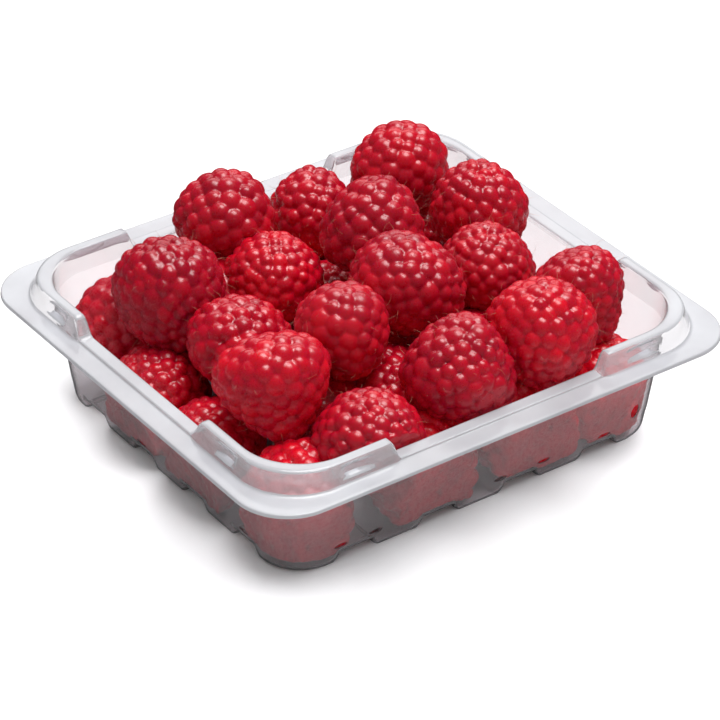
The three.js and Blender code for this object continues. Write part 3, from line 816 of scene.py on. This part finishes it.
def hair_line(root, facing, rng):
    """Points along a hair, and two directions across it."""
    aside = unit(np.cross(facing, rng.normal(0, 1, 3)))
    length = rng.uniform(*HAIR_LENGTH)
    lean = rng.uniform(*HAIR_LEAN)
    line = [root - facing * ROOT_DEPTH]
    way = unit(facing + aside * lean * LEAN_SHARE)
    curl = unit(aside + rng.normal(0, CURL_SPREAD, 3)) * rng.uniform(*HAIR_CURL)
    for _ in range(HAIR_STEPS):
        line.append(line[-1] + way * length / HAIR_STEPS)
        way = unit(way + curl)
    u = unit(np.cross(facing, aside + 0.1))
    return np.array(line), u, unit(np.cross(way, u))

def hair(root, facing, rng):
    line, u, v = hair_line(root, facing, rng)
    points, faces = [], []
    for k, p in enumerate(line):
        r = HAIR_WIDTH * (1 - NARROWING * k / HAIR_STEPS) / 2
        points += [p + r * (math.cos(turn) * u + math.sin(turn) * v) for turn in HAIR_CORNERS]
    for k in range(HAIR_STEPS):
        for j in range(3):
            a, b = 3 * k + j, 3 * k + (j + 1) % 3
            faces += [(a, b, b + 3), (a, b + 3, a + 3)]
    last = 3 * HAIR_STEPS
    faces += [(0, 2, 1), (last, last + 1, last + 2)]
    return np.array(points), np.array(faces)

print("points in a hair:", len(HAIR_CORNERS) * (HAIR_STEPS + 1))

# %% Build the hairs
HAIR_SEED = 5
HAIR_SHARE = 0.34  # share of the drupelets that still have one
HIGHEST_HAIR = 49.2
BURIED = 1.2  # mm inside a neighbour, from where a hair's root is hidden
HAIR_SLACK = 0.2  # mm between a hair and the tray

def inside_other(index, place):
    """True where a point lies well inside a neighbouring berry."""
    for other, fruit in enumerate(HEAP + BED):
        gap = place - fruit["at"]
        far = np.linalg.norm(gap)
        if other != index and far < skin_reach(fruit, (gap / far)[None])[0] - BURIED:
            return True
    return False

hair_rng = np.random.default_rng(HAIR_SEED)
hair_points, hair_faces = [], []
for index, fruit in enumerate(HEAP):
    ways = layouts[index][0]
    facings = skin_normals(fruit, ways)
    roots = fruit["at"] + ways * (skin_reach(fruit, ways) + STAND_OUT)[:, None]
    for root, facing in zip(roots, facings):
        if hair_rng.random() > HAIR_SHARE or inside_other(index, root):
            continue
        p, f = hair(root, facing, hair_rng)
        if p[:, 2].max() < HIGHEST_HAIR:
            hair_faces.append(f + len(p) * len(hair_points))
            hair_points.append(press(p, HAIR_SLACK))
hairs = make_piece("berry_hairs", np.vstack(hair_points), np.vstack(hair_faces),
                   "raspberries")

# %% [markdown]
# ## Helpers for materials
# A material in Blender is a net of nodes. The same few come back in every finish: noise that
# wanders over the surface, a ramp that turns a number into a colour, and a bump. Each helper
# makes one of them and hands back the socket that the next one needs.

# %% Helpers for numbers
def new_material(name, settings):
    """settings: numbers and colours that are the same all over the surface."""
    material = bpy.data.materials.new(name)
    material.use_nodes = True
    shader = material.node_tree.nodes["Principled BSDF"]
    for socket, value in settings.items():
        shader.inputs[socket].default_value = value
    return material, material.node_tree.nodes, material.node_tree.links, shader

def add_noise(nodes, links, scale, detail):
    """scale: how many waves fit in a metre."""
    noise = nodes.new("ShaderNodeTexNoise")
    noise.inputs["Scale"].default_value = scale
    noise.inputs["Detail"].default_value = detail
    place = nodes.new("ShaderNodeTexCoord")
    links.new(place.outputs["Object"], noise.inputs["Vector"])
    return noise.outputs["Fac"]

def add_mark(nodes, name):
    node = nodes.new("ShaderNodeAttribute")
    node.attribute_name = name
    return node.outputs["Fac"]

def multiply_add(nodes, links, value, factor, extra):
    """value * factor + extra, where extra is a socket or a number."""
    node = nodes.new("ShaderNodeMath")
    node.operation = "MULTIPLY_ADD"
    links.new(value, node.inputs[0])
    node.inputs[1].default_value = factor
    if isinstance(extra, float):
        node.inputs[2].default_value = extra
    else:
        links.new(extra, node.inputs[2])
    return node.outputs[0]

print("helpers for numbers: noise, mark, multiply and add")

# %% Helpers for colour and bump
MIX_FACTOR, MIX_FIRST, MIX_SECOND, MIX_RESULT = 0, 6, 7, 2  # colour sockets of a Mix node

def mix_colours(nodes, links, factor, first, second, blend="MIX"):
    """factor is a socket or a number."""
    mix = nodes.new("ShaderNodeMix")
    mix.data_type = "RGBA"
    mix.blend_type = blend
    if isinstance(factor, float):
        mix.inputs[MIX_FACTOR].default_value = factor
    else:
        links.new(factor, mix.inputs[MIX_FACTOR])
    links.new(first, mix.inputs[MIX_FIRST])
    links.new(second, mix.inputs[MIX_SECOND])
    return mix.outputs[MIX_RESULT]

def add_ramp(nodes, links, value, stops):
    ramp = nodes.new("ShaderNodeValToRGB")
    while len(ramp.color_ramp.elements) < len(stops):
        ramp.color_ramp.elements.new(0.5)
    for element, (position, colour) in zip(ramp.color_ramp.elements, stops):
        element.position = position
        element.color = (*colour, 1)
    links.new(value, ramp.inputs["Fac"])
    return ramp.outputs["Color"]

def add_bump(nodes, links, height, strength, distance, under=None):
    bump = nodes.new("ShaderNodeBump")
    bump.inputs["Strength"].default_value = strength
    bump.inputs["Distance"].default_value = distance
    links.new(height, bump.inputs["Height"])
    if under is not None:
        links.new(under, bump.inputs["Normal"])
    return bump.outputs["Normal"]

print("helpers for colour and bump: mix, ramp, bump")

# %% [markdown]
# ## Berry skin
# Raspberry skin is red through and through, a little see-through, with a bloom of the finest
# down. Subsurface scattering carries red light a little way under the skin, and sheen stands for
# the down, which scatters light that comes in at a low angle. The colour wanders over each berry
# and differs a little from one drupelet to the next, and shade is painted into the creases: they
# are coloured darker. Two sizes of bump break up the shine, as the wrinkles of a real skin do.

# %% Berry material
WANDER, WRINKLES, GRAIN = 140, 420, 1500  # waves in a metre of colour, broad and fine bump
BY_DRUPELET, BY_WANDER = 0.30, 0.45  # how far each moves the berry's own tone, in all

def berry_material():
    material, nodes, links, shader = new_material("raspberry_skin", {
        "Subsurface Weight": 0.4,
        "Subsurface Radius": (1.0, 0.06, 0.06),
        "Subsurface Scale": 0.0022,
        "Sheen Weight": 0.015,
        "Sheen Roughness": 0.42,
        "Sheen Tint": (1.0, 0.70, 0.74, 1),
        "Specular IOR Level": 0.66,
    })
    lowest = -(BY_DRUPELET + BY_WANDER) / 2
    tone = multiply_add(nodes, links, add_mark(nodes, "tone"), 1.0, lowest)
    tone = multiply_add(nodes, links, add_mark(nodes, "drupelet"), BY_DRUPELET, tone)
    tone = multiply_add(nodes, links, add_noise(nodes, links, WANDER, 2), BY_WANDER, tone)
    red = add_ramp(nodes, links, tone, [(0.0, (0.29, 0.0004, 0.015)),
                                        (0.5, (0.53, 0.0008, 0.018)),
                                        (1.0, (0.82, 0.002, 0.018))])
    # Painted shade: the base colour is multiplied darker where a drupelet's rise falls off into
    # a crease.
    painted_crease_shade = add_ramp(nodes, links, add_mark(nodes, "rise"),
                    [(0.15, (0.30, 0.25, 0.30)), (0.5, (1, 1, 1))])
    links.new(mix_colours(nodes, links, 1.0, red, painted_crease_shade, "MULTIPLY"), shader.inputs["Base Color"])
    fine = add_noise(nodes, links, GRAIN, 3)
    rough = multiply_add(nodes, links, add_mark(nodes, "frost"), 0.10, 0.16)
    links.new(multiply_add(nodes, links, fine, 0.14, rough), shader.inputs["Roughness"])
    broad = add_bump(nodes, links, add_noise(nodes, links, WRINKLES, 2), 0.55, 0.0003)
    links.new(add_bump(nodes, links, fine, 0.25, 0.0001, broad), shader.inputs["Normal"])
    return material

skin = berry_material()
for piece in berry_pieces:
    piece.data.materials.append(skin)
print("berry skin is on", len(berry_pieces), "pieces")

# %% [markdown]
# ## Dry hairs
# The hairs are dry, tan with darker stretches. They are so thin that a colour which wanders
# along them and a plain half gloss are all that can be seen.

# %% Hair material
def hair_material():
    material, nodes, links, shader = new_material("dry_hair", {"Roughness": 0.5})
    tan = add_ramp(nodes, links, add_noise(nodes, links, 300, 2),
                   [(0.0, (0.42, 0.12, 0.07)), (1.0, (0.80, 0.45, 0.30))])
    links.new(tan, shader.inputs["Base Color"])
    return material

hairs.data.materials.append(hair_material())
print("finish of the hairs:", hairs.data.materials[0].name)

# %% [markdown]
# ## Cloudiness
# Formed plastic is never quite even: its tint and its gloss wander a little over the sheet. All
# three finishes of the tray share that effect, so it is made once as a node group with named
# inputs, and each material gives it its own numbers.

# %% Cloudiness, shared by the plastics
CLOUDS = 60  # waves in a metre

def cloud_group():
    group = bpy.data.node_groups.new("plastic_cloudiness", "ShaderNodeTree")
    sockets = [("Scale", "INPUT", "NodeSocketFloat"), ("Dark Tint", "INPUT", "NodeSocketColor"),
               ("Light Tint", "INPUT", "NodeSocketColor"),
               ("Glossy", "INPUT", "NodeSocketFloat"), ("Dull", "INPUT", "NodeSocketFloat"),
               ("Tint", "OUTPUT", "NodeSocketColor"), ("Roughness", "OUTPUT", "NodeSocketFloat")]
    for name, way, kind in sockets:
        group.interface.new_socket(name=name, in_out=way, socket_type=kind)
    nodes, links = group.nodes, group.links
    given, out = nodes.new("NodeGroupInput"), nodes.new("NodeGroupOutput")
    cloud = add_noise(nodes, links, CLOUDS, 3)
    links.new(given.outputs["Scale"], cloud.node.inputs["Scale"])
    tint = mix_colours(nodes, links, cloud, given.outputs["Dark Tint"],
                       given.outputs["Light Tint"])
    links.new(tint, out.inputs["Tint"])
    rough = nodes.new("ShaderNodeMapRange")
    links.new(cloud, rough.inputs["Value"])
    links.new(given.outputs["Glossy"], rough.inputs["To Min"])
    links.new(given.outputs["Dull"], rough.inputs["To Max"])
    links.new(rough.outputs["Result"], out.inputs["Roughness"])
    return group

cloudiness = cloud_group()
print("shared effect:", cloudiness.name)

# %% [markdown]
# ## Clear plastic
# The sheet is clear in the walls and the floor. Where it lies level, on the flange and on top of
# the rim, it is hazy and pale: partly the sheet's own haze, partly a painted reflection of the
# bright light behind the tray, which such level faces catch. The rim's own walls are in between.
# Lamps shine through the sheet: for shadow rays each material is replaced by a plain see-through
# one, or the fruit inside would be in the dark.

# %% Plastic materials
FINISHES = [
    dict(name="clear_sheet", dark=(0.88, 0.85, 0.87), light=(0.94, 0.91, 0.93),
         rough=(0.02, 0.06), clearness=0.885, through=(0.95, 0.95, 0.96)),
    dict(name="hazy_flange_painted_shine", dark=(0.46, 0.45, 0.48), light=(0.70, 0.715, 0.74),
         rough=(0.08, 0.18), clearness=0.25, through=(0.93, 0.93, 0.94)),
    dict(name="rim_sheet", dark=(0.90, 0.89, 0.91), light=(0.96, 0.95, 0.97),
         rough=(0.02, 0.06), clearness=0.78, through=(0.92, 0.92, 0.93)),
]

def plastic_material(name, dark, light, rough, clearness, through):
    material, nodes, links, shader = new_material(name, {"Transmission Weight": clearness,
                                                         "IOR": 1.5})
    cloud = nodes.new("ShaderNodeGroup")
    cloud.node_tree = cloudiness
    cloud.inputs["Scale"].default_value = CLOUDS
    cloud.inputs["Dark Tint"].default_value = (*dark, 1)
    cloud.inputs["Light Tint"].default_value = (*light, 1)
    cloud.inputs["Glossy"].default_value, cloud.inputs["Dull"].default_value = rough
    links.new(cloud.outputs["Tint"], shader.inputs["Base Color"])
    links.new(cloud.outputs["Roughness"], shader.inputs["Roughness"])
    clear = nodes.new("ShaderNodeBsdfTransparent")
    clear.inputs["Color"].default_value = (*through, 1)
    path = nodes.new("ShaderNodeLightPath")
    mix = nodes.new("ShaderNodeMixShader")
    links.new(path.outputs["Is Shadow Ray"], mix.inputs[0])
    links.new(shader.outputs["BSDF"], mix.inputs[1])
    links.new(clear.outputs["BSDF"], mix.inputs[2])
    links.new(mix.outputs["Shader"], nodes["Material Output"].inputs["Surface"])
    return material

tray_shell.data.materials.clear()
for finish in FINISHES:
    tray_shell.data.materials.append(plastic_material(**finish))
print("tray finishes:", [m.name for m in tray_shell.data.materials])

# %% [markdown]
# ## Which finish goes where
# Each face of the tray takes a finish by its place on the section: how far in from the flange's
# edge it is, how high, and whether it lies level. Round a corner the distance from the edge is
# measured to the round corner, or straight edges of a finish would cut across it.

# %% Finish of each face
CLEAR, HAZY_PAINTED_SHINE, RIM = range(3)  # places in the list of finishes
FLANGE_INNER_EDGE = 5.2
RIM_INNER_EDGE = 8.8
LEVEL = 0.7  # least upward share of a face's normal for it to count as level

def section_inset(x, y):
    """Place on the tray's section of a point seen from above, also round a corner."""
    in_x, in_y = TRAY[0] / 2 - abs(x), TRAY[1] / 2 - abs(y)
    spread = 2 * RIM_CORNER ** 2 - (in_x - in_y) ** 2
    if spread > 0:
        round_inset = (in_x + in_y - 2 * RIM_CORNER + math.sqrt(spread)) / 2
        if max(in_x, in_y) < round_inset + RIM_CORNER:
            return round_inset
    return min(in_x, in_y)

for face in tray_shell.data.polygons:
    c = face.center / MM
    inset = section_inset(c.x, c.y)
    on_flange = FLANGE_BAND[0] < c.z < FLANGE_BAND[1] and inset < FLANGE_INNER_EDGE
    on_rim = c.z > FLANGE_BAND[0] and inset < RIM_INNER_EDGE
    level = on_rim and abs(face.normal.z) > LEVEL
    # Level faces of the flange and the rim take the hazy finish, whose pale colour is partly a
    # painted reflection of the light behind the tray.
    face.material_index = HAZY_PAINTED_SHINE if on_flange or level else RIM if on_rim else CLEAR
finish_of = [face.material_index for face in tray_shell.data.polygons]
print("faces of each finish:", [finish_of.count(k) for k in (CLEAR, HAZY_PAINTED_SHINE, RIM)])

# %% [markdown]
# ## Floor
# The floor is a wide white sheet. In a studio, dark cards near the fruit would keep that bright
# floor from showing in everything glossy. Here the Light Path node does it: Glossy Depth counts
# how often a ray has been mirrored, and for a mirrored ray the floor is nearly black. Without
# that, a grey veil lies over the fruit.

# %% Floor
FLOOR_REACH = 4.0  # m to each side
FLOOR_WHITE, FLOOR_MIRRORED = (0.96, 0.96, 0.96), (0.04, 0.04, 0.04)

floor_mesh = bpy.data.meshes.new("floor")
floor_mesh.from_pydata([(x * FLOOR_REACH, y * FLOOR_REACH, 0) for x, y in
                        ((-1, -1), (1, -1), (1, 1), (-1, 1))], [], [(0, 1, 2, 3)])
floor = bpy.data.objects.new("floor", floor_mesh)
bpy.context.scene.collection.objects.link(floor)
paint, paint_nodes, paint_links, paint_shader = new_material(
    "white_floor", {"Roughness": 0.9, "Specular IOR Level": 0.0})
path = paint_nodes.new("ShaderNodeLightPath")
white = add_ramp(paint_nodes, paint_links, path.outputs["Glossy Depth"],
                 [(0.0, FLOOR_WHITE), (1.0, FLOOR_MIRRORED)])
paint_links.new(white, paint_shader.inputs["Base Color"])
floor_mesh.materials.append(paint)
print("floor is", 2 * FLOOR_REACH, "m wide")

# %% [markdown]
# ## Light
# A big soft lamp hangs above and a little behind, which puts a pale shine on the tops of the
# drupelets and leaves the near sides deep red. A second one further back gives the clear plastic
# its bright edges. The world fills the shadows, and as with the floor it is dim for mirrored
# rays. The camera itself sees it pure white.

# %% Lamps and world
def soft_lamp(name, turn, rise, distance, size, watts):
    way = way_from(turn, rise)
    lamp = bpy.data.lights.new(name, "AREA")
    lamp.shape = "RECTANGLE"
    lamp.size, lamp.size_y = size
    lamp.energy = watts
    holder = bpy.data.objects.new(name, lamp)
    holder.matrix_world = (Matrix.Translation(way * distance)
                           @ way.to_track_quat("Z", "Y").to_matrix().to_4x4())
    bpy.context.scene.collection.objects.link(holder)

soft_lamp("lamp_over", turn=VIEW_TURN + 140, rise=74, distance=2.0, size=(1.3, 1.05),
          watts=36)
soft_lamp("lamp_behind", turn=VIEW_TURN + 180, rise=33, distance=2.2, size=(2.4, 1.0),
          watts=14)

FILL, FILL_MIRRORED = 0.46, 0.03  # strength of the world, straight and in mirrored rays
world = bpy.data.worlds.new("studio")
world.use_nodes = True
sky, sky_links = world.node_tree.nodes, world.node_tree.links
glow = sky["Background"]
glow.inputs["Color"].default_value = (1, 1, 1, 1)
seen_by = sky.new("ShaderNodeLightPath")
fill = sky.new("ShaderNodeMapRange")
fill.inputs["To Min"].default_value = FILL
fill.inputs["To Max"].default_value = FILL_MIRRORED
sky_links.new(seen_by.outputs["Glossy Depth"], fill.inputs["Value"])
strength = sky.new("ShaderNodeMath")
strength.operation = "MAXIMUM"
sky_links.new(seen_by.outputs["Is Camera Ray"], strength.inputs[0])
sky_links.new(fill.outputs["Result"], strength.inputs[1])
sky_links.new(strength.outputs[0], glow.inputs["Strength"])
bpy.context.scene.world = world
bpy.context.scene.view_settings.view_transform = "Standard"
